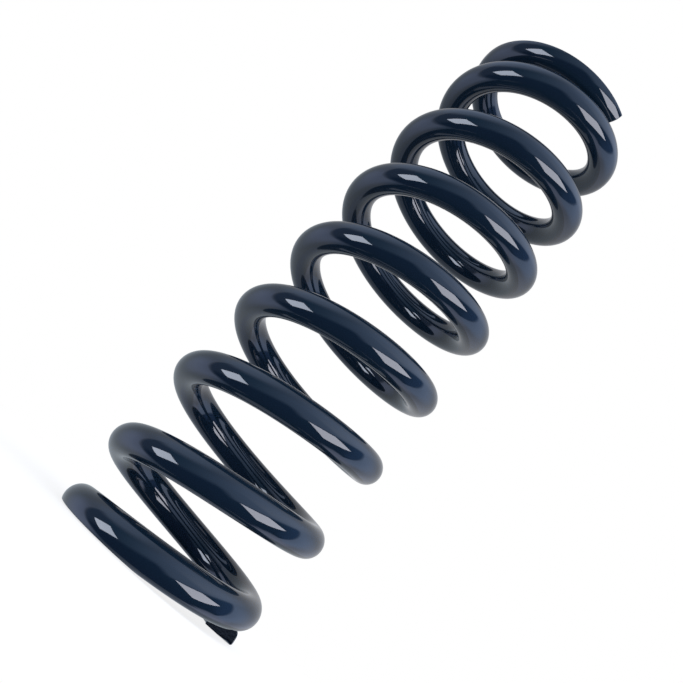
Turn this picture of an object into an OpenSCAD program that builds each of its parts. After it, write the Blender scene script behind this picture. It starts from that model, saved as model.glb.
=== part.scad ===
// Coil spring for a height-adjustable shock absorber: one round wire wound right-handed,
// barrelled a little between its ends, with both ends closed and ground flat.
// +Z runs along the spring's axis. The origin is on the axis, in the plane of the bottom ground face.

/* [Wire] */
// Diameter of the round wire
wire_d = 14.9; // [11:0.1:18]

/* [Coil] */
// Free length between the two ground faces
free_length = 304.8; // [220:0.1:400]
// Turns of wire from the bottom tip to the top tip
turns = 8.87; // [7:0.01:12]
// Inside diameter of the body coils, which stand clear of the shock absorber
body_id = 72.3; // [66:0.1:90]
// Inside diameter of the end coils, which centre on the spring seats
end_id = 63.5; // [50:0.1:72]
// Turns from each tip at which the coil has grown to its body diameter
body_from_turns = 2.05; // [1.2:0.05:3]
// Angle of the bottom tip about the axis, from +X
tip_angle = -6.3; // [-180:0.1:180]

/* [Ends] */
// Height of wire that grinding leaves at the bottom tip
tip_height = 5.2; // [3:0.1:8]
// Height of wire that grinding leaves at the top tip
top_tip_height = 6.4; // [3:0.1:8]
// Gap between each tip and the coil next to it
tip_gap = 1; // [0.5:0.1:4]
// Turns at each tip that keep the closed pitch
closed_turns = 0.1; // [0:0.01:0.5]
// Turns over which the pitch opens at the bottom end
bottom_rise_turns = 1.47; // [1.05:0.01:1.8]
// Turns over which the pitch opens at the top end
top_rise_turns = 1.3; // [1.05:0.01:1.8]
// Turns at the bottom tip that keep the end diameter
bottom_seat_turns = 0; // [0:0.05:0.9]
// Turns at the top tip that keep the end diameter
top_seat_turns = 0.35; // [0:0.05:0.9]

/* [Smoothness] */
// Facets round the wire
wire_facets = 16; // [8:2:20]
// Facets along each turn of the coil
turn_facets = 36; // [24:1:40]

/* [Hidden] */
wire_r = wire_d / 2;
body_r = (body_id + wire_d) / 2;
end_r = (end_id + wire_d) / 2;
// Height of the wire's centre over the ground face at the bottom tip, and under it at the top tip
tip_centre = tip_height - wire_r;
top_tip_centre = top_tip_height - wire_r;
// Rise of the first turn from a tip, which lays the next coil just clear of the tip
first_rise = wire_d + tip_gap;
half_facets = wire_facets / 2;
// Largest angle of a facet corner above or below the wire's own middle plane
corner_max = 90 - 180 / wire_facets;
steps = ceil(turns * turn_facets);
steel_blue = "#1a2b40";

// Smooth step from 0 to 1
function ease(x) = let (t = min(max(x, 0), 1)) t * t * (3 - 2 * t);
// Area under the smooth step, from 0 to x
function ease_area(x) = let (t = min(max(x, 0), 1)) pow(t, 3) - pow(t, 4) / 2 + max(x - 1, 0);

// Pitch: it opens from the closed pitch at a tip to the body pitch.
// The body pitch follows from the free length, and each closed pitch from first_rise.
function open_area(rise_turns, u) = rise_turns * ease_area((u - closed_turns) / rise_turns);
function end_loss(rise_turns) = (closed_turns + rise_turns / 2) / (1 - open_area(rise_turns, 1));
end_losses = end_loss(bottom_rise_turns) + end_loss(top_rise_turns);
centre_rise = free_length - tip_centre - top_tip_centre;
body_pitch = (centre_rise - first_rise * end_losses) / (turns - end_losses);
function closed_pitch(rise_turns) =
    let (share = open_area(rise_turns, 1))
    (first_rise - body_pitch * share) / (1 - share);
function pitch_at(u, rise_turns) =
    let (closed = closed_pitch(rise_turns))
    closed + (body_pitch - closed) * ease((u - closed_turns) / rise_turns);
function rise_at(u, rise_turns) =
    let (closed = closed_pitch(rise_turns))
    closed * u + (body_pitch - closed) * open_area(rise_turns, u);

// The wire's centre line, u turns up from the bottom tip
function in_lower_half(u) = u < turns / 2;
function centre_z(u) = in_lower_half(u)
    ? tip_centre + rise_at(u, bottom_rise_turns)
    : free_length - top_tip_centre - rise_at(turns - u, top_rise_turns);
function centre_pitch(u) = in_lower_half(u)
    ? pitch_at(u, bottom_rise_turns)
    : pitch_at(turns - u, top_rise_turns);
function body_share(u, seat_turns) = ease((u - seat_turns) / (body_from_turns - seat_turns));
function centre_r(u) =
    end_r + (body_r - end_r) * min(body_share(u, bottom_seat_turns), body_share(turns - u, top_seat_turns));

// Angle on the wire's section at which a ground plane cuts it, or the last facet corner where it doesn't
function cut_angle(height, reach) =
    abs(height) < reach ? min(max(asin(height / reach), -corner_max), corner_max) : sign(height) * corner_max;

// One section of the wire: round, and flat where a ground plane cuts it.
// across is the horizontal direction out from the axis, upright the other direction of the section.
function section(u) =
    let (
        turn = tip_angle + 360 * u,
        radius = centre_r(u),
        height = centre_z(u),
        slope = atan(centre_pitch(u) / (2 * PI * radius)),
        across = [cos(turn), sin(turn), 0],
        upright = [sin(slope) * sin(turn), -sin(slope) * cos(turn), cos(slope)],
        centre = radius * across + [0, 0, height],
        reach = wire_r * cos(slope),
        low = cut_angle(-height, reach),
        high = cut_angle(free_length - height, reach),
        outer = [for (k = [0:half_facets - 1]) low + (high - low) * k / (half_facets - 1)],
        inner = [for (k = [half_facets - 1:-1:0]) 180 - outer[k]]
    )
    [for (a = concat(outer, inner)) centre + wire_r * (cos(a) * across + sin(a) * upright)];

// Two triangles for each facet between one section and the next, and a flat face at each tip
function side_faces() = [
    for (i = [0:steps - 1], k = [0:wire_facets - 1])
        let (
            next = (k + 1) % wire_facets,
            a = i * wire_facets + k,
            b = i * wire_facets + next,
            c = a + wire_facets,
            d = b + wire_facets
        )
        each [[a, d, c], [a, b, d]]
];
function tip_faces() = [
    [for (k = [wire_facets - 1:-1:0]) k],
    [for (k = [0:wire_facets - 1]) steps * wire_facets + k]
];

module coil_spring() {
    color(steel_blue)
        polyhedron(
            points = [for (i = [0:steps]) each section(turns * i / steps)],
            faces = concat(side_faces(), tip_faces()),
            convexity = 10
        );
}

coil_spring();
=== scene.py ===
"""Looks of a coilover spring: one wound wire in gloss navy powder coat, on a pale studio floor."""

import math
from typing import NamedTuple

import bpy
from mathutils import Matrix, Vector


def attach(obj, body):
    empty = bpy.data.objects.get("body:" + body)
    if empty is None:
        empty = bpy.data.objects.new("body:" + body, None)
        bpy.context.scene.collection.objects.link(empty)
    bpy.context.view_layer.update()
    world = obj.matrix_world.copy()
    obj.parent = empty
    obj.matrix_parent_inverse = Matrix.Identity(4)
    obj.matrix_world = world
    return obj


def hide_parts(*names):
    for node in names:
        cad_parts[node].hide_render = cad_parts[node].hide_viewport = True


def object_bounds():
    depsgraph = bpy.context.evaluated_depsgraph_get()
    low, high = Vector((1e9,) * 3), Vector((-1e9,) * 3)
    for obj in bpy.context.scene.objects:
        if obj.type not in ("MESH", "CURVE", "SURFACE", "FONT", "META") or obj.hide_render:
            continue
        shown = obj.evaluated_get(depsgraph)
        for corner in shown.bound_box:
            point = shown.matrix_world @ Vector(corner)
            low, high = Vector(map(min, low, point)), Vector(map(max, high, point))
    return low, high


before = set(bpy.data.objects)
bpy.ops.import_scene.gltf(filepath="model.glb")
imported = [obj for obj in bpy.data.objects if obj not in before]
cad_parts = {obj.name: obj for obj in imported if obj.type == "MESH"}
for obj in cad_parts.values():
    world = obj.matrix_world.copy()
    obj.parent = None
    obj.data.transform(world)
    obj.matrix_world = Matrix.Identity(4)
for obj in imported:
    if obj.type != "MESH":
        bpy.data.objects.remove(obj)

bl_info = {
    "name": "Coilover Spring",
    "version": (1, 0, 0),
    "blender": (4, 5, 0),
    "location": "View3D > Sidebar > Spring",
    "description": "Winds, grinds and coats a coilover spring, and sets up its studio",
    "category": "Add Mesh",
}

CAD_BOX = [list(corner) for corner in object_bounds()]
CAD_NODE = "coil_spring"
CAD_BODY = "root"
CUT_MARK = "cut_end"

MM = 0.001

# The photograph's width and height, and the width of the camera's sensor
PICTURE_PX = 683
SENSOR_WIDTH_MM = 36.0


# Sizes and colours that a user would change

class SpringSizes(bpy.types.PropertyGroup):
    """Sizes of the wound wire; the part's source has the same ones down to the top seat."""

    wire_d: bpy.props.FloatProperty(
        name="Wire diameter", description="Diameter of the round wire",
        default=0.0149, unit="LENGTH")
    free_length: bpy.props.FloatProperty(
        name="Free length", description="Length between the two ground faces",
        default=CAD_BOX[1][2] - CAD_BOX[0][2], unit="LENGTH")
    turns: bpy.props.FloatProperty(
        name="Turns", description="Turns of wire from the bottom tip to the top tip",
        default=8.87)
    body_id: bpy.props.FloatProperty(
        name="Body inside diameter", description="Inside diameter of the body coils",
        default=0.0723, unit="LENGTH")
    end_id: bpy.props.FloatProperty(
        name="End inside diameter", description="Inside diameter of the end coils",
        default=0.0635, unit="LENGTH")
    body_from_turns: bpy.props.FloatProperty(
        name="Body from", description="Turns from each tip at which the coil has its body diameter",
        default=2.05)
    tip_angle: bpy.props.FloatProperty(
        name="Tip angle", description="Angle of the bottom tip about the axis, from +X",
        default=math.radians(-6.3), subtype="ANGLE")
    tip_height: bpy.props.FloatProperty(
        name="Bottom tip height", description="Height of wire that grinding leaves at the bottom tip",
        default=0.0052, unit="LENGTH")
    top_tip_height: bpy.props.FloatProperty(
        name="Top tip height", description="Height of wire that grinding leaves at the top tip",
        default=0.0064, unit="LENGTH")
    tip_gap: bpy.props.FloatProperty(
        name="Tip gap", description="Gap between each tip and the coil next to it",
        default=0.0010, unit="LENGTH")
    closed_turns: bpy.props.FloatProperty(
        name="Closed turns", description="Turns at each tip that keep the closed pitch",
        default=0.1)
    bottom_rise_turns: bpy.props.FloatProperty(
        name="Bottom rise", description="Turns over which the pitch opens at the bottom end",
        default=1.47)
    top_rise_turns: bpy.props.FloatProperty(
        name="Top rise", description="Turns over which the pitch opens at the top end",
        default=1.30)
    bottom_seat_turns: bpy.props.FloatProperty(
        name="Bottom seat", description="Turns at the bottom tip that keep the end diameter",
        default=0.0)
    top_seat_turns: bpy.props.FloatProperty(
        name="Top seat", description="Turns at the top tip that keep the end diameter",
        default=0.35)
    edge_radius: bpy.props.FloatProperty(
        name="Edge radius", description="Rounding of the ground and cut edges under the coat",
        default=0.0005, unit="LENGTH")
    tip_flare: bpy.props.FloatProperty(
        name="Tip flare", description="How far shearing pushes out the upper corner of the bottom tip",
        default=0.0026, unit="LENGTH")
    tip_flare_reach: bpy.props.FloatProperty(
        name="Tip flare reach", description="How far the pushed-out corner fades along the wire",
        default=0.0055, unit="LENGTH")
    body_steps: bpy.props.IntProperty(
        name="Body steps", description="Rings of the mesh in each turn of the body", default=120)
    end_steps: bpy.props.IntProperty(
        name="End steps", description="Rings of the mesh in each turn of the ends", default=240)
    end_turns: bpy.props.FloatProperty(
        name="End turns", description="Turns at each end with the finer rings", default=1.2)


class CoatFinish(bpy.types.PropertyGroup):
    """Gloss powder coat."""

    navy: bpy.props.FloatVectorProperty(
        name="Navy", description="Colour of the coat", subtype="COLOR",
        default=(0.0037, 0.0094, 0.0172))
    navy_thin: bpy.props.FloatVectorProperty(
        name="Navy, thin", description="Colour where the coat lies thinner", subtype="COLOR",
        default=(0.0045, 0.0114, 0.0202))
    roughness: bpy.props.FloatProperty(
        name="Roughness", description="Roughness of the gloss coat", default=0.05, subtype="FACTOR")
    peel_size: bpy.props.FloatProperty(
        name="Peel size", description="Width of one dimple of the orange peel",
        default=0.0022, unit="LENGTH")
    peel_depth: bpy.props.FloatProperty(
        name="Peel depth", description="Depth of the orange peel", default=0.000004, unit="LENGTH")
    # Near-black colour of the sheared tip faces: partly a thin coat on torn metal, partly painted shade of
    # the shadowed tip ends
    cut_end: bpy.props.FloatVectorProperty(
        name="Cut end", description="Colour of the coat on the sheared ends", subtype="COLOR",
        default=(0.0006, 0.0010, 0.0022))
    cut_grain: bpy.props.FloatProperty(
        name="Cut grain", description="Width of the torn grain on the sheared ends",
        default=0.0009, unit="LENGTH")


class StudioSet(bpy.types.PropertyGroup):
    """Camera and lights."""

    camera_distance: bpy.props.FloatProperty(
        name="Camera distance", description="Distance of the camera from the spring's axis",
        default=0.34444, unit="LENGTH")
    camera_height: bpy.props.FloatProperty(
        name="Camera height", description="Height of the camera over the floor",
        default=0.02605, unit="LENGTH")
    aim_height: bpy.props.FloatProperty(
        name="Aim height", description="Height at which the camera looks",
        default=0.14155, unit="LENGTH")
    aim_side: bpy.props.FloatProperty(
        name="Aim side", description="How far to the side of the axis the camera looks",
        default=-0.0030, unit="LENGTH")
    roll: bpy.props.FloatProperty(
        name="Roll", description="Turn of the camera about its line of sight",
        default=0.7245, subtype="ANGLE")
    focal_px: bpy.props.FloatProperty(
        name="Focal length", description="Focal length in pixels of the picture", default=762.96)
    centre_px: bpy.props.FloatVectorProperty(
        name="Picture centre", description="Pixel that the line of sight passes through",
        size=2, default=(354.80, 325.48))
    softbox_left: bpy.props.FloatVectorProperty(
        name="Left softbox", description="Brightness of the left softbox, where 1 is white",
        default=(7.3, 8.0, 9.4))
    softbox_right: bpy.props.FloatVectorProperty(
        name="Right softbox", description="Brightness of the right softbox, where 1 is white",
        default=(7.45, 7.6, 8.6))
    top_light: bpy.props.FloatProperty(
        name="Top light", description="Power of the light over the floor",
        default=26.0, unit="POWER")


# Angles up from outwards on the wire's section: the place that the flare starts from, and its way
FLARE_FROM = math.radians(50)
FLARE_TOWARDS = math.radians(60)

# Steps of the wire's section: on each round side, each rounded rim and each flat
SIDE_STEPS = 24
RIM_STEPS = 5
FLAT_STEPS = 6

# Turns to either side of a place on the wire between which its direction is taken
DIRECTION_STEP = 0.001

# Points of the mesh nearer to each other than this are welded, and edges shorter than it dissolved
WELD_DISTANCE = 0.01 * MM

# Edges sharper than this stay sharp in the shading
SHARP_ANGLE = math.radians(35)

# Least share of a face's normal along the wire that makes it a cut end
CUT_FACING = 0.9


# The winding, as in the part's source, with a finer section

def ease(x):
    """Smooth step from 0 to 1."""
    t = min(max(x, 0.0), 1.0)
    return t * t * (3 - 2 * t)


def ease_area(x):
    """Area under the smooth step, from 0 to x."""
    t = min(max(x, 0.0), 1.0)
    return t**3 - t**4 / 2 + max(x - 1, 0.0)


def arc_points(centre_x, centre_y, radius, start, end, steps):
    """Points along an arc, without its first one."""
    points = []
    for index in range(steps):
        angle = start + (end - start) * (index + 1) / steps
        points.append((centre_x + radius * math.cos(angle), centre_y + radius * math.sin(angle)))
    return points


def flat_points(half_width, height, steps):
    """Points along a flat, without its first one; a negative half width runs to the right."""
    return [(half_width * (1 - 2 * (index + 1) / steps), height) for index in range(steps)]


def ground_circle(radius, below, above, rim):
    """Outline of a circle cut at a distance below and above its centre, with rounded rims."""
    corners = []
    for reach in (min(below, radius), min(above, radius)):
        across = math.sqrt(max((radius - rim)**2 - (reach - rim)**2, 0.0))
        corners.append((across, reach, math.atan2(reach - rim, across)))
    (low_x, low, low_angle), (high_x, high, high_angle) = corners
    quarter = math.pi / 2
    half = math.pi
    points = arc_points(0, 0, radius, -low_angle, high_angle, SIDE_STEPS)
    points += arc_points(high_x, high - rim, rim, high_angle, quarter, RIM_STEPS)
    points += flat_points(high_x, high, FLAT_STEPS)
    points += arc_points(-high_x, high - rim, rim, quarter, half - high_angle, RIM_STEPS)
    points += arc_points(0, 0, radius, half - high_angle, half + low_angle, SIDE_STEPS)
    points += arc_points(-low_x, rim - low, rim, half + low_angle, half + quarter, RIM_STEPS)
    points += flat_points(-low_x, -low, FLAT_STEPS)
    points += arc_points(low_x, rim - low, rim, -quarter, -low_angle, RIM_STEPS)
    return points


class Winding:
    """The wire's centre line and the rings of its mesh, u turns up from the bottom tip."""

    def __init__(self, sizes):
        self.sizes = sizes
        self.wire_r = sizes.wire_d / 2
        self.body_r = (sizes.body_id + sizes.wire_d) / 2
        self.end_r = (sizes.end_id + sizes.wire_d) / 2
        self.tip_centre = sizes.tip_height - self.wire_r
        self.top_tip_centre = sizes.top_tip_height - self.wire_r
        self.first_rise = sizes.wire_d + sizes.tip_gap
        losses = self.end_loss(sizes.bottom_rise_turns) + self.end_loss(sizes.top_rise_turns)
        centre_rise = sizes.free_length - self.tip_centre - self.top_tip_centre
        self.body_pitch = (centre_rise - self.first_rise * losses) / (sizes.turns - losses)

    def open_area(self, rise_turns, u):
        """Turns' worth of the open pitch in the first u turns from a tip."""
        return rise_turns * ease_area((u - self.sizes.closed_turns) / rise_turns)

    def end_loss(self, rise_turns):
        """Turns at the first turn's rise that would shorten the spring as much as one closed end does."""
        return (self.sizes.closed_turns + rise_turns / 2) / (1 - self.open_area(rise_turns, 1))

    def rise_at(self, u, rise_turns):
        """Rise of the centre line in the first u turns from a tip."""
        share = self.open_area(rise_turns, 1)
        closed_pitch = (self.first_rise - self.body_pitch * share) / (1 - share)
        return closed_pitch * u + (self.body_pitch - closed_pitch) * self.open_area(rise_turns, u)

    def height(self, u):
        """Height of the centre line over the bottom ground face."""
        sizes = self.sizes
        if u < sizes.turns / 2:
            return self.tip_centre + self.rise_at(u, sizes.bottom_rise_turns)
        from_top = self.rise_at(sizes.turns - u, sizes.top_rise_turns)
        return sizes.free_length - self.top_tip_centre - from_top

    def radius(self, u):
        """Distance of the centre line from the spring's axis."""
        sizes = self.sizes
        shares = []
        for from_tip, seat in ((u, sizes.bottom_seat_turns), (sizes.turns - u, sizes.top_seat_turns)):
            shares.append(ease((from_tip - seat) / (sizes.body_from_turns - seat)))
        return self.end_r + (self.body_r - self.end_r) * min(shares)

    def outwards(self, u):
        """Level direction from the axis to the wire."""
        angle = self.sizes.tip_angle + math.tau * u
        return Vector((math.cos(angle), math.sin(angle), 0))

    def point(self, u):
        """Place on the centre line."""
        return self.radius(u) * self.outwards(u) + Vector((0, 0, self.height(u)))

    def around(self, u, angle):
        """Direction from the centre line, at an angle up from outwards."""
        return math.cos(angle) * self.outwards(u) + Vector((0, 0, math.sin(angle)))

    def along(self, u):
        """Direction along the wire, upwards."""
        return (self.point(u + DIRECTION_STEP) - self.point(u - DIRECTION_STEP)).normalized()

    def stations(self):
        """Turns and insets of the mesh's rings, where the insets round the rims of the cut ends."""
        sizes = self.sizes
        rim = []
        for step in range(RIM_STEPS + 1):
            angle = math.pi / 2 * step / RIM_STEPS
            depth = sizes.edge_radius * (1 - math.cos(angle))
            rim.append((depth / (math.tau * self.end_r), sizes.edge_radius * (1 - math.sin(angle))))
        rings = list(rim)
        stops = (rim[-1][0], sizes.end_turns, sizes.turns - sizes.end_turns, sizes.turns - rim[-1][0])
        steps = (sizes.end_steps, sizes.body_steps, sizes.end_steps)
        for begin, end, turn_steps in zip(stops, stops[1:], steps):
            count = math.ceil((end - begin) * turn_steps)
            rings += [(begin + (end - begin) * (index + 1) / count, 0.0) for index in range(count)]
        return rings + [(sizes.turns - depth, inset) for depth, inset in reversed(rim[:-1])]

    def ring(self, u, inset):
        """Points round the wire, flat where an end plane cuts it."""
        centre = self.point(u)
        out = self.outwards(u)
        up = out.cross(self.along(u)).normalized()
        below = centre.z / up.z
        above = (self.sizes.free_length - centre.z) / up.z
        outline = ground_circle(self.wire_r - inset, below - inset, above - inset,
                                self.sizes.edge_radius - inset)
        return [centre + x * out + y * up for x, y in outline]


# Shader maths

# Share of a speck's radius within which it is full
SPECK_CORE = 0.6


class Value:
    """A socket's value in a node tree; an expression on it adds Math nodes."""

    def __init__(self, nodes, socket):
        self.nodes = nodes
        self.socket = socket

    def math(self, operation, *others):
        return self.nodes.math(operation, self, *others)

    def __add__(self, other):
        return self.math("ADD", other)

    __radd__ = __add__

    def __sub__(self, other):
        return self.math("SUBTRACT", other)

    def __rsub__(self, other):
        return self.nodes.math("SUBTRACT", other, self)

    def __mul__(self, other):
        return self.math("MULTIPLY", other)

    __rmul__ = __mul__

    def __abs__(self):
        return self.math("ABSOLUTE")


class Nodes:
    """A node tree under construction."""

    def __init__(self, tree):
        self.tree = tree
        tree.nodes.clear()

    def add(self, kind, settings=None, **inputs):
        """Adds a node, sets its settings and then the values or links of its sockets."""
        node = self.tree.nodes.new(kind)
        for name, value in (settings or {}).items():
            setattr(node, name, value)
        for name, value in inputs.items():
            key = int(name[1:]) if name[1:].isdigit() else name.replace("_", " ")
            self.fill(node.inputs[key], value)
        return node

    def fill(self, socket, value):
        if isinstance(value, Value):
            self.tree.links.new(value.socket, socket)
        elif isinstance(value, bpy.types.NodeSocket):
            self.tree.links.new(value, socket)
        else:
            socket.default_value = value

    def math(self, operation, *values):
        numbered = {"i%d" % index: value for index, value in enumerate(values)}
        return self.value(self.add("ShaderNodeMath", {"operation": operation}, **numbered))

    def value(self, node, output=0):
        return Value(self, node.outputs[output])

    def ramp(self, value, low, high):
        """Smooth step of a value from 0 at low to 1 at high."""
        node = self.add("ShaderNodeMapRange", {"interpolation_type": "SMOOTHSTEP"},
                        Value=value, From_Min=low, From_Max=high)
        return self.value(node)

    def noise(self, vector, size, detail=2.0):
        """Noise from 0 to 1 whose cells are about size metres wide."""
        node = self.add("ShaderNodeTexNoise", Vector=vector, Scale=1 / size, Detail=detail)
        return self.value(node, "Fac")

    def specks(self, vector, spacing, radius, bare_share):
        """1 on round specks: one in each cell of the spacing, except in a bare share of the cells."""
        cells = self.add("ShaderNodeTexVoronoi", Vector=vector, Scale=1 / spacing)
        near = 1.0 - self.ramp(self.value(cells, "Distance") * spacing, radius * SPECK_CORE, radius)
        chance = self.value(self.add("ShaderNodeSeparateColor", Color=cells.outputs["Color"]))
        return near * chance.math("GREATER_THAN", bare_share)

    def mix_colours(self, factor, first, second):
        node = self.add("ShaderNodeMix", {"data_type": "RGBA"}, i0=factor)
        self.fill(node.inputs[6], first)
        self.fill(node.inputs[7], second)
        return node.outputs[2]


def rgba(colour):
    return (*colour, 1.0)


# The coat

# Widths of the wide and the fine clouds in the coat's thickness, and the wide ones' share of its colour
WIDE_CLOUD = 0.035
FINE_CLOUD = 0.009
WIDE_CLOUD_SHARE = 0.7

# Nibs: the spacing of the cells that may hold one, its radius, and the share of cells without one
NIB_SPACING = 0.020
NIB_RADIUS = 0.25 * MM
NIB_FREE_SHARE = 0.8

# Grinding marks to the metre, along X and along Y
MARKS_PER_METRE = (60, 1400, 0)

# Distances from an end plane between which the grinding marks fade out
MARKS_FADE = (0.2 * MM, 0.1 * MM)

# Width of the coat's swells, where 1 is the width of the orange peel
SWELL_WIDTH = 3

# Depths in the coat's surface, where 1 is the depth of the orange peel
SWELL_DEPTH = 2.0
NIB_HEIGHT = 8.0
MARK_DEPTH = 3.0
TORN_DEPTH = 20.0

# What the fine clouds, the ground flats and the cut ends add to the coat's roughness
CLOUD_ROUGHNESS = 0.04
FLAT_ROUGHNESS = 0.16
CUT_ROUGHNESS = 0.08


def powder_coat(finish, sizes):
    """Gloss navy powder coat with orange peel, a few nibs, grinding marks on the flats and torn cut ends,
    whose near-black colour is partly a thin coat and partly painted shade.
    """
    material = bpy.data.materials.new("powder_coat_navy")
    material.use_nodes = True
    nodes = Nodes(material.node_tree)
    place = nodes.add("ShaderNodeTexCoord").outputs["Object"]
    shade = nodes.noise(place, WIDE_CLOUD)
    cloud = nodes.noise(place, FINE_CLOUD, 3.0)
    peel = nodes.noise(place, finish.peel_size, 1.0)
    swell = nodes.noise(place, finish.peel_size * SWELL_WIDTH, 1.0)
    nib = nodes.specks(place, NIB_SPACING, NIB_RADIUS, NIB_FREE_SHARE)
    height = nodes.value(nodes.add("ShaderNodeSeparateXYZ", Vector=place), "Z")
    half_length = sizes.free_length / 2
    flat = nodes.ramp(abs(height - half_length), half_length - MARKS_FADE[0], half_length - MARKS_FADE[1])
    stroke = nodes.add("ShaderNodeVectorMath", {"operation": "MULTIPLY"}, i0=place, i1=MARKS_PER_METRE)
    marks = nodes.noise(stroke.outputs[0], 1.0)
    cut = nodes.value(nodes.add("ShaderNodeAttribute", {"attribute_name": CUT_MARK}), "Fac")
    torn = nodes.noise(place, finish.cut_grain, 3.0)
    thinness = shade * WIDE_CLOUD_SHARE + cloud * (1 - WIDE_CLOUD_SHARE)
    coat = nodes.mix_colours(thinness, rgba(finish.navy), rgba(finish.navy_thin))
    # The cut ends take a near-black colour: partly a thin coat on torn metal, partly painted shade
    colour = nodes.mix_colours(cut, coat, rgba(finish.cut_end))
    coated = peel + swell * SWELL_DEPTH + nib * NIB_HEIGHT
    surface = coated + marks * flat * MARK_DEPTH + torn * cut * TORN_DEPTH
    bump = nodes.add("ShaderNodeBump", Strength=1.0, Distance=finish.peel_depth, Height=surface)
    rough = finish.roughness + (cloud - 0.5) * CLOUD_ROUGHNESS + flat * FLAT_ROUGHNESS + cut * CUT_ROUGHNESS
    shader = nodes.add("ShaderNodeBsdfPrincipled", Base_Color=colour, Roughness=rough,
                       IOR=1.5, Normal=bump.outputs[0])
    nodes.add("ShaderNodeOutputMaterial", Surface=shader.outputs[0])
    return material


def deselect_all():
    if bpy.context.object and bpy.context.object.mode != "OBJECT":
        bpy.ops.object.mode_set(mode="OBJECT")
    bpy.ops.object.select_all(action="DESELECT")


class SPRING_OT_wind(bpy.types.Operator):
    """Wind the wire, grind both ends flat and coat it"""

    bl_idname = "spring.wind"
    bl_label = "Wind Spring"

    def execute(self, context):
        sizes = context.scene.spring_sizes
        winding = Winding(sizes)
        deselect_all()
        rings = [winding.ring(u, inset) for u, inset in winding.stations()]
        around = len(rings[0])
        bpy.ops.mesh.primitive_grid_add(x_subdivisions=around, y_subdivisions=len(rings) - 1,
                                        calc_uvs=False, location=(0, 0, 0))
        spring = context.object
        spring.name = "wound_spring"
        for vertex in spring.data.vertices:
            row, step = divmod(vertex.index, around + 1)
            vertex.co = rings[row][step % around]
        self.close()
        self.flare_tip(spring, winding)
        self.shade(spring)
        self.mark_cut_ends(spring, winding)
        spring.data.materials.clear()
        spring.data.materials.append(powder_coat(context.scene.coat_finish, sizes))
        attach(spring, CAD_BODY)
        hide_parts(CAD_NODE)
        return {"FINISHED"}

    def close(self):
        """Weld the seam of the rolled grid and close its two ends."""
        bpy.ops.object.mode_set(mode="EDIT")
        bpy.ops.mesh.select_mode(type="VERT")
        bpy.ops.mesh.select_all(action="SELECT")
        bpy.ops.mesh.remove_doubles(threshold=WELD_DISTANCE)
        bpy.ops.mesh.dissolve_degenerate(threshold=WELD_DISTANCE)
        bpy.ops.mesh.fill_holes(sides=0)
        bpy.ops.mesh.select_all(action="SELECT")
        bpy.ops.mesh.normals_make_consistent(inside=False)
        bpy.ops.mesh.select_all(action="DESELECT")
        bpy.ops.object.mode_set(mode="OBJECT")

    def flare_tip(self, spring, winding):
        """Push out the upper outer corner that shearing leaves on the bottom tip."""
        sizes = winding.sizes
        corner = winding.point(0) + winding.wire_r * winding.around(0, FLARE_FROM)
        nearest = min(spring.data.vertices, key=lambda vertex: (vertex.co - corner).length)
        nearest.select = True
        bpy.ops.object.mode_set(mode="EDIT")
        bpy.ops.transform.translate(value=sizes.tip_flare * winding.around(0, FLARE_TOWARDS),
                                    use_proportional_edit=True, use_proportional_connected=True,
                                    proportional_edit_falloff="SMOOTH",
                                    proportional_size=sizes.tip_flare_reach)
        bpy.ops.object.mode_set(mode="OBJECT")

    def shade(self, spring):
        """Smooth shading that keeps the flats flat."""
        bpy.ops.object.shade_smooth_by_angle(angle=SHARP_ANGLE)
        shading = spring.modifiers.new("shading", "WEIGHTED_NORMAL")
        shading.keep_sharp = True
        bpy.ops.object.modifier_apply(modifier=shading.name)

    def mark_cut_ends(self, spring, winding):
        """Mark the sheared faces at the two tips for the coat."""
        sizes = winding.sizes
        marks = spring.data.attributes.new(CUT_MARK, "FLOAT", "FACE")
        for tip, end_way in ((0.0, -1), (sizes.turns, 1)):
            place = winding.point(tip)
            away = end_way * winding.along(tip)
            for face in spring.data.polygons:
                near = (face.center - place).length < sizes.wire_d
                if near and face.normal.dot(away) > CUT_FACING:
                    marks.data[face.index].value = 1.0


# The studio

class PictureAxes:
    """The camera's own axes: right and up in the picture, and out of it towards the viewer."""

    def __init__(self, studio):
        self.place = Vector((0, -studio.camera_distance, studio.camera_height))
        aim = Vector((studio.aim_side, 0, studio.aim_height))
        sight = (aim - self.place).normalized()
        level = sight.cross(Vector((0, 0, 1))).normalized()
        upright = level.cross(sight)
        turn, lean = math.cos(studio.roll), math.sin(studio.roll)
        self.right = turn * level + lean * upright
        self.up = turn * upright - lean * level
        self.out = -sight

    def direction(self, azimuth, elevation):
        """Direction at an azimuth from the viewer, to the right, and an elevation, in degrees."""
        a, e = math.radians(azimuth), math.radians(elevation)
        across = math.cos(e)
        return across * math.sin(a) * self.right + math.sin(e) * self.up + across * math.cos(a) * self.out

    def facing(self, normal, spin):
        """Rotation of a flat panel whose back looks along normal, turned by spin degrees."""
        side = self.up.cross(normal).normalized()
        top = normal.cross(side)
        c, s = math.cos(math.radians(spin)), math.sin(math.radians(spin))
        return Matrix((c * side + s * top, c * top - s * side, normal)).transposed()


class Softbox(NamedTuple):
    """Place of a softbox from the middle of the studio and its size, in degrees and metres."""

    azimuth: float
    elevation: float
    distance: float
    back_azimuth: float
    back_elevation: float
    spin: float
    width: float
    height: float


SOFTBOXES = {
    "softbox_left": Softbox(azimuth=-56, elevation=22, distance=1.5, back_azimuth=-30, back_elevation=14,
                            spin=10, width=0.70, height=0.74),
    "softbox_right": Softbox(azimuth=45, elevation=-30, distance=1.95, back_azimuth=-5, back_elevation=-60,
                             spin=-20, width=1.60, height=1.20),
}


class Patch(NamedTuple):
    """Soft patch of light or shade on the studio's dome.

    It begins and ends at azimuths, and reaches from a low to a high elevation. Each is a pair in degrees:
    the edge and half the width of its softness. Its sides lean to the left by lean for each degree upwards.
    """

    colour: tuple
    begin: tuple = None
    end: tuple = None
    low: tuple = None
    high: tuple = None
    lean: float = 0.0


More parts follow.
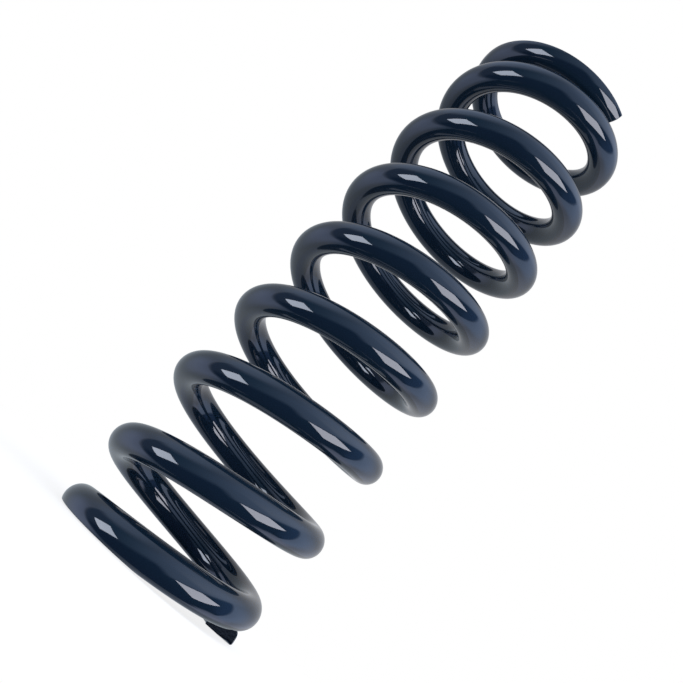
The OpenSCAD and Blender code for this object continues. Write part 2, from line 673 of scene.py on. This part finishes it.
# What the coat mirrors; each patch is laid over the ones before it
DOME_GREY = (0.57, 0.58, 0.61)
PATCHES = {
    "ceiling": Patch((0.80, 1.00, 1.40), low=(60, 20)),
    "ground": Patch((1.00, 1.10, 1.50), high=(-70, 10)),
    "right_low": Patch((0.75, 0.80, 0.95), begin=(105, 10), low=(-70, 10), high=(-40, 15)),
    "right_wall": Patch((0.95, 1.20, 1.75), begin=(-65, 5), end=(115, 25), low=(-80, 5), high=(50, 20),
                        lean=0.3),
    "window_glow": Patch((1.40, 1.65, 2.20), begin=(60, 10), end=(110, 45), low=(-10, 10), high=(20, 20),
                         lean=0.5),
    "teal_front": Patch((0.08, 0.17, 0.27), begin=(-85, 10), end=(10, 90), low=(-30, 10), high=(65, 15),
                        lean=-0.4),
    "far_left": Patch((0.45, 0.50, 0.55), begin=(-170, 10), end=(-105, 15), low=(-70, 10), high=(50, 20)),
    "left_wall": Patch((0.90, 1.05, 1.50), begin=(-110, 20), end=(-80, 5), low=(-20, 15), high=(45, 20),
                       lean=0.3),
    "left_low": Patch((0.40, 0.45, 0.55), begin=(-150, 10), end=(-75, 10), low=(-70, 10), high=(-30, 5)),
    "left_frame": Patch((0.18, 0.22, 0.33), begin=(-80, 5), end=(-35, 5), low=(-5, 5), high=(65, 10),
                        lean=0.3),
    "viewer_side": Patch((0.03, 0.03, 0.07), begin=(-80, 5), end=(10, 10), low=(-80, 5), high=(10, 10)),
    "right_frame": Patch((0.03, 0.04, 0.07), begin=(10, 10), end=(110, 5), low=(-80, 5), high=(-15, 5),
                         lean=-0.4),
    "right_rim": Patch((0.12, 0.20, 0.45), begin=(85, 15), end=(110, 5), low=(-70, 10), high=(-15, 5),
                       lean=-0.4),
}

# Middle of the studio, about halfway up the spring, and radius of the dome round it
STUDIO_CENTRE = Vector((0, 0, 0.150))
DOME_RADIUS = 3.0

# Width of the floor, how far it lies under the spring, and its colour where light falls on it
FLOOR_WIDTH = 12.0
FLOOR_DROP = 0.3 * MM
FLOOR_PALE = (0.9, 0.9, 0.9)

# White share of the floor at the spring, and the distances over which it fades to all white
FLOOR_WHITE = 0.82
FLOOR_FADE = (0.06, 0.28)
WHITE = (1.0, 1.0, 1.0)

# Place and width of the light over the floor
TOP_LIGHT_PLACE = (0.3, -0.3, 1.6)
TOP_LIGHT_WIDTH = 1.2

# Nearest distance that the camera sees
CAMERA_NEAR = 0.01


def dome_material():
    """Glow of the dome, as seen from its middle."""
    material = bpy.data.materials.new("dome_glow")
    material.use_nodes = True
    nodes = Nodes(material.node_tree)
    place = nodes.add("ShaderNodeTexCoord").outputs["Object"]
    towards = nodes.add("ShaderNodeVectorMath", {"operation": "NORMALIZE"}, i0=place)
    split = nodes.add("ShaderNodeSeparateXYZ", Vector=towards.outputs[0])
    right, up, out = (nodes.value(split, axis) for axis in "XYZ")
    azimuth = right.math("ARCTAN2", out) * math.degrees(1)
    elevation = up.math("ARCSINE") * math.degrees(1)
    colour = rgba(DOME_GREY)
    for patch in PATCHES.values():
        side = azimuth + elevation * patch.lean
        edges = [nodes.ramp(angle, edge[0] - edge[1], edge[0] + edge[1])
                 for angle, edge in ((side, patch.begin), (elevation, patch.low)) if edge]
        edges += [nodes.ramp(angle, edge[0] + edge[1], edge[0] - edge[1])
                  for angle, edge in ((side, patch.end), (elevation, patch.high)) if edge]
        cover = edges[0]
        for edge in edges[1:]:
            cover = cover * edge
        colour = nodes.mix_colours(cover, colour, rgba(patch.colour))
    glow = nodes.add("ShaderNodeEmission", Color=colour, Strength=1.0)
    nodes.add("ShaderNodeOutputMaterial", Surface=glow.outputs[0])
    material.cycles.emission_sampling = "NONE"
    return material


class SPRING_OT_stage(bpy.types.Operator):
    """Set up the floor, the lights and the camera"""

    bl_idname = "spring.stage"
    bl_label = "Set Up Studio"

    def execute(self, context):
        scene = context.scene
        studio = scene.studio_set
        axes = PictureAxes(studio)
        self.floor()
        self.background(scene)
        self.dome(axes)
        for name, box in SOFTBOXES.items():
            self.softbox(name, box, axes, Vector(getattr(studio, name)))
        self.top_light(studio.top_light)
        self.camera(scene, studio, axes)
        scene.view_settings.view_transform = "Standard"
        return {"FINISHED"}

    def floor(self):
        """Floor that only the camera sees: it shows the spring's shadow and fades to white."""
        deselect_all()
        bpy.ops.mesh.primitive_plane_add(size=FLOOR_WIDTH, location=(0, 0, -FLOOR_DROP))
        floor = bpy.context.object
        floor.name = "floor"
        material = bpy.data.materials.new("floor_white")
        material.use_nodes = True
        nodes = Nodes(material.node_tree)
        place = nodes.add("ShaderNodeTexCoord").outputs["Object"]
        away = nodes.add("ShaderNodeVectorMath", {"operation": "LENGTH"}, i0=place)
        fade = nodes.ramp(nodes.value(away, "Value"), FLOOR_FADE[0], FLOOR_FADE[1])
        pale = nodes.add("ShaderNodeBsdfDiffuse", Color=rgba(FLOOR_PALE))
        white = nodes.add("ShaderNodeEmission", Color=rgba(WHITE), Strength=1.0)
        mixed = nodes.add("ShaderNodeMixShader", Fac=FLOOR_WHITE + (1 - FLOOR_WHITE) * fade)
        nodes.fill(mixed.inputs[1], pale.outputs[0])
        nodes.fill(mixed.inputs[2], white.outputs[0])
        nodes.add("ShaderNodeOutputMaterial", Surface=mixed.outputs[0])
        floor.data.materials.append(material)
        floor.visible_diffuse = False
        floor.visible_glossy = False
        floor.visible_shadow = False

    def background(self, scene):
        """White beyond the floor; the dome hides it from every ray but the camera's."""
        world = bpy.data.worlds.new("studio")
        world.use_nodes = True
        nodes = Nodes(world.node_tree)
        back = nodes.add("ShaderNodeBackground", Color=rgba(WHITE), Strength=1.0)
        nodes.add("ShaderNodeOutputWorld", Surface=back.outputs[0])
        scene.world = world

    def dome(self, axes):
        """Surroundings for the coat to mirror, hidden from the camera."""
        deselect_all()
        bpy.ops.mesh.primitive_uv_sphere_add(segments=64, ring_count=32, radius=DOME_RADIUS)
        dome = bpy.context.object
        dome.name = "dome"
        turn = Matrix((axes.right, axes.up, axes.out)).transposed()
        dome.matrix_world = Matrix.Translation(STUDIO_CENTRE) @ turn.to_4x4()
        dome.data.materials.append(dome_material())
        dome.visible_camera = False

    def softbox(self, name, box, axes, radiance):
        """Rectangular light that looks as bright as radiance, hidden from the camera."""
        deselect_all()
        bpy.ops.object.light_add(type="AREA")
        lamp = bpy.context.object
        lamp.name = name
        lamp.data.shape = "RECTANGLE"
        lamp.data.size = box.width
        lamp.data.size_y = box.height
        lamp.data.color = radiance / max(radiance)
        lamp.data.energy = max(radiance) * math.pi * box.width * box.height
        turn = axes.facing(axes.direction(box.back_azimuth, box.back_elevation), box.spin)
        place = STUDIO_CENTRE + box.distance * axes.direction(box.azimuth, box.elevation)
        lamp.matrix_world = Matrix.Translation(place) @ turn.to_4x4()
        lamp.visible_camera = False

    def top_light(self, power):
        """Light for the floor, which the coat doesn't mirror."""
        deselect_all()
        bpy.ops.object.light_add(type="AREA", location=TOP_LIGHT_PLACE)
        lamp = bpy.context.object
        lamp.name = "top_light"
        lamp.data.size = TOP_LIGHT_WIDTH
        lamp.data.energy = power
        lamp.visible_camera = False
        lamp.visible_glossy = False

    def camera(self, scene, studio, axes):
        deselect_all()
        bpy.ops.object.camera_add()
        camera = bpy.context.object
        camera.name = "camera"
        turn = Matrix((axes.right, axes.up, axes.out)).transposed()
        camera.matrix_world = Matrix.Translation(axes.place) @ turn.to_4x4()
        camera.data.sensor_width = SENSOR_WIDTH_MM
        camera.data.lens = studio.focal_px * SENSOR_WIDTH_MM / PICTURE_PX
        camera.data.shift_x = (PICTURE_PX / 2 - studio.centre_px[0]) / PICTURE_PX
        camera.data.shift_y = (studio.centre_px[1] - PICTURE_PX / 2) / PICTURE_PX
        camera.data.clip_start = CAMERA_NEAR
        scene.camera = camera


class SPRING_PT_panel(bpy.types.Panel):
    """Sizes, finish and steps of the spring"""

    bl_idname = "SPRING_PT_panel"
    bl_label = "Coilover Spring"
    bl_space_type = "VIEW_3D"
    bl_region_type = "UI"
    bl_category = "Spring"

    def draw(self, context):
        scene = context.scene
        for group in (scene.spring_sizes, scene.coat_finish, scene.studio_set):
            box = self.layout.box()
            for name in group.__annotations__:
                box.prop(group, name)
        self.layout.operator(SPRING_OT_wind.bl_idname)
        self.layout.operator(SPRING_OT_stage.bl_idname)


CLASSES = (SpringSizes, CoatFinish, StudioSet, SPRING_OT_wind, SPRING_OT_stage, SPRING_PT_panel)


def register():
    for item in CLASSES:
        bpy.utils.register_class(item)
    bpy.types.Scene.spring_sizes = bpy.props.PointerProperty(type=SpringSizes)
    bpy.types.Scene.coat_finish = bpy.props.PointerProperty(type=CoatFinish)
    bpy.types.Scene.studio_set = bpy.props.PointerProperty(type=StudioSet)


def unregister():
    del bpy.types.Scene.studio_set
    del bpy.types.Scene.coat_finish
    del bpy.types.Scene.spring_sizes
    for item in reversed(CLASSES):
        bpy.utils.unregister_class(item)


def main():
    register()
    bpy.ops.spring.wind()
    bpy.ops.spring.stage()


if __name__ == "__main__":
    main()
